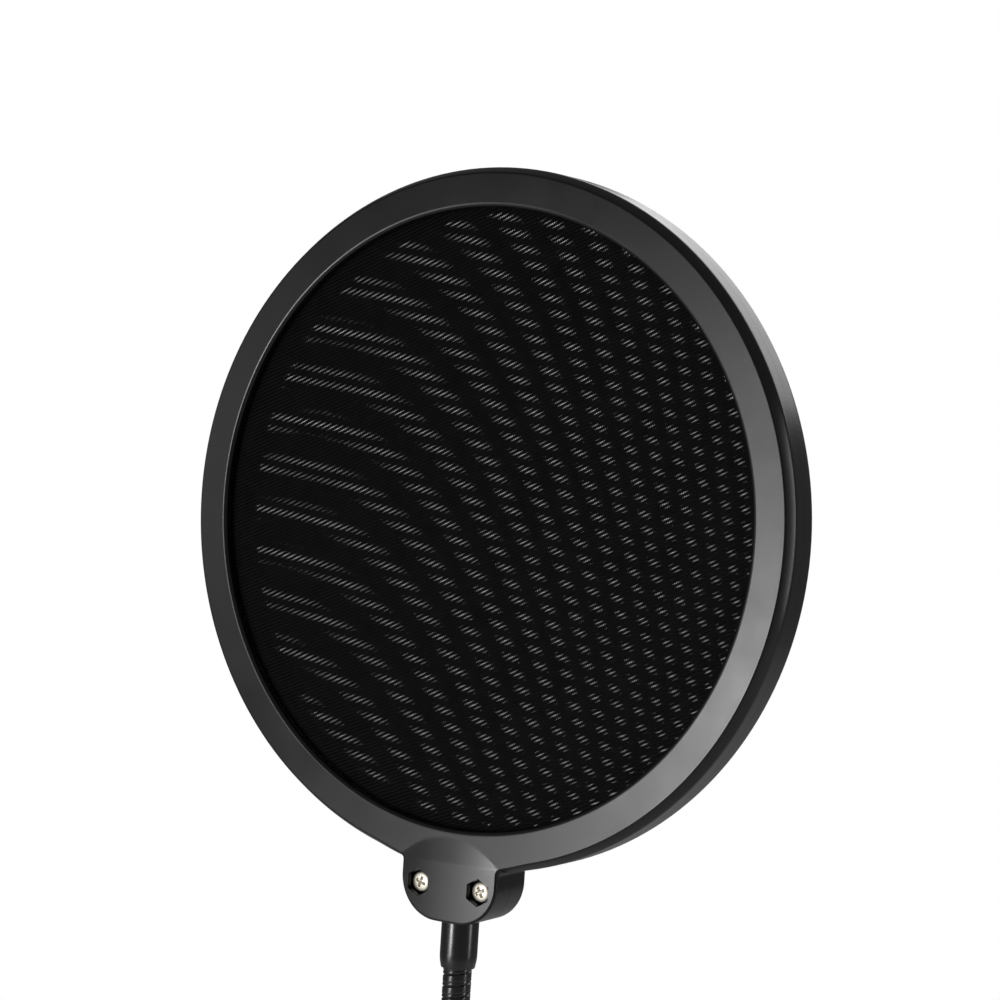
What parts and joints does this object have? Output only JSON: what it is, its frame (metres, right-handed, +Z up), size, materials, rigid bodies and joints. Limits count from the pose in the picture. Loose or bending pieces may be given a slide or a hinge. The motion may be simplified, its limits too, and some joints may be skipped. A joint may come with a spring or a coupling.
{
  "type": "pop filter",
  "caption": "Round two-layer mesh pop filter on a bendable steel gooseneck with a screw clamp, to stand between a speaker's mouth and a microphone.",
  "frame": {"origin": "centre of the clamp's fixed jaw face, on the neck's axis", "axes": "+Z up along the straight neck from the clamp to the filter head, -Y the way the filter's front faces and the clamp opens, +X to the right seen from the front"},
  "size_m": [0.155, 0.045, 0.613],
  "materials": {
    "moulding": "satin moulded black ABS",
    "clamp_moulding": "fine spark-eroded black moulding",
    "knob_moulding": "satin black moulding",
    "mesh": "woven black nylon mesh",
    "spacer": "matt black moulding",
    "neck_steel": "gloss black lacquered wound steel",
    "ferrule_steel": "gloss black lacquered turned steel",
    "bright_steel": "bright zinc-plated steel",
    "plate_zinc": "satin black cast zinc",
    "jaw_rubber": "matt black rubber"
  },
  "bodies": {
    "clamp": {"clamp_body": "clamp_moulding", "fixed_jaw_pad": "jaw_rubber", "threaded_bush": "bright_steel", "lock_nut": "bright_steel", "neck_stud": "bright_steel", "lower_ferrule": "ferrule_steel", "neck_foot": "neck_steel"},
    "neck_01": {"neck_link_01": "neck_steel"},
    "neck_02": {"neck_link_02": "neck_steel"},
    "neck_03": {"neck_link_03": "neck_steel"},
    "neck_04": {"neck_link_04": "neck_steel"},
    "neck_05": {"neck_link_05": "neck_steel"},
    "neck_06": {"neck_link_06": "neck_steel"},
    "neck_07": {"neck_link_07": "neck_steel"},
    "neck_08": {"neck_link_08": "neck_steel"},
    "neck_09": {"neck_link_09": "neck_steel"},
    "neck_10": {"neck_link_10": "neck_steel"},
    "neck_11": {"neck_link_11": "neck_steel"},
    "head": {"neck_top": "neck_steel", "upper_ferrule": "ferrule_steel", "neck_anchor": "bright_steel", "front_ring": "moulding", "rear_ring": "moulding", "front_screen": "mesh", "rear_screen": "mesh", "screen_spacer": "spacer", "tab_screw_left": "bright_steel", "tab_screw_right": "bright_steel", "tab_nut_left": "bright_steel", "tab_nut_right": "bright_steel"},
    "plate": {"pressure_plate": "plate_zinc", "moving_jaw_pad": "jaw_rubber"},
    "screw": {"clamp_screw": "bright_steel", "clamp_knob": "knob_moulding", "knob_cap": "knob_moulding"}
  },
  "joints": [
    {"name": "neck_bend_01", "type": "hinge", "parent": "clamp", "child": "neck_01", "pos_m": [0, 0, 0.041], "axis": [1, 0, 0], "range_deg": [-24, 24]},
    {"name": "neck_bend_02", "type": "hinge", "parent": "neck_01", "child": "neck_02", "pos_m": [0, 0, 0.067], "axis": [0, 1, 0], "range_deg": [-24, 24]},
    {"name": "neck_bend_03", "type": "hinge", "parent": "neck_02", "child": "neck_03", "pos_m": [0, 0, 0.093], "axis": [1, 0, 0], "range_deg": [-24, 24]},
    {"name": "neck_bend_04", "type": "hinge", "parent": "neck_03", "child": "neck_04", "pos_m": [0, 0, 0.119], "axis": [0, 1, 0], "range_deg": [-24, 24]},
    {"name": "neck_bend_05", "type": "hinge", "parent": "neck_04", "child": "neck_05", "pos_m": [0, 0, 0.145], "axis": [1, 0, 0], "range_deg": [-24, 24]},
    {"name": "neck_bend_06", "type": "hinge", "parent": "neck_05", "child": "neck_06", "pos_m": [0, 0, 0.171], "axis": [0, 1, 0], "range_deg": [-24, 24]},
    {"name": "neck_bend_07", "type": "hinge", "parent": "neck_06", "child": "neck_07", "pos_m": [0, 0, 0.197], "axis": [1, 0, 0], "range_deg": [-24, 24]},
    {"name": "neck_bend_08", "type": "hinge", "parent": "neck_07", "child": "neck_08", "pos_m": [0, 0, 0.223], "axis": [0, 1, 0], "range_deg": [-24, 24]},
    {"name": "neck_bend_09", "type": "hinge", "parent": "neck_08", "child": "neck_09", "pos_m": [0, 0, 0.249], "axis": [1, 0, 0], "range_deg": [-24, 24]},
    {"name": "neck_bend_10", "type": "hinge", "parent": "neck_09", "child": "neck_10", "pos_m": [0, 0, 0.275], "axis": [0, 1, 0], "range_deg": [-24, 24]},
    {"name": "neck_bend_11", "type": "hinge", "parent": "neck_10", "child": "neck_11", "pos_m": [0, 0, 0.301], "axis": [1, 0, 0], "range_deg": [-24, 24]},
    {"name": "neck_bend_12", "type": "hinge", "parent": "neck_11", "child": "head", "pos_m": [0, 0, 0.327], "axis": [0, 1, 0], "range_deg": [-24, 24]},
    {"name": "plate_travel", "type": "slide", "parent": "clamp", "child": "plate", "axis": [0, 0, 1], "range_m": [-0.0125, 0.02]},
    {"name": "clamp_screw_turn", "type": "hinge", "parent": "plate", "child": "screw", "pos_m": [0, 0, -0.0313], "axis": [0, 0, 1], "range_deg": [-3610, 5770]}
  ],
  "couplings": [
    {"joint": "clamp_screw_turn", "follows": "plate_travel", "rad_per_m": 5026.5}
  ]
}
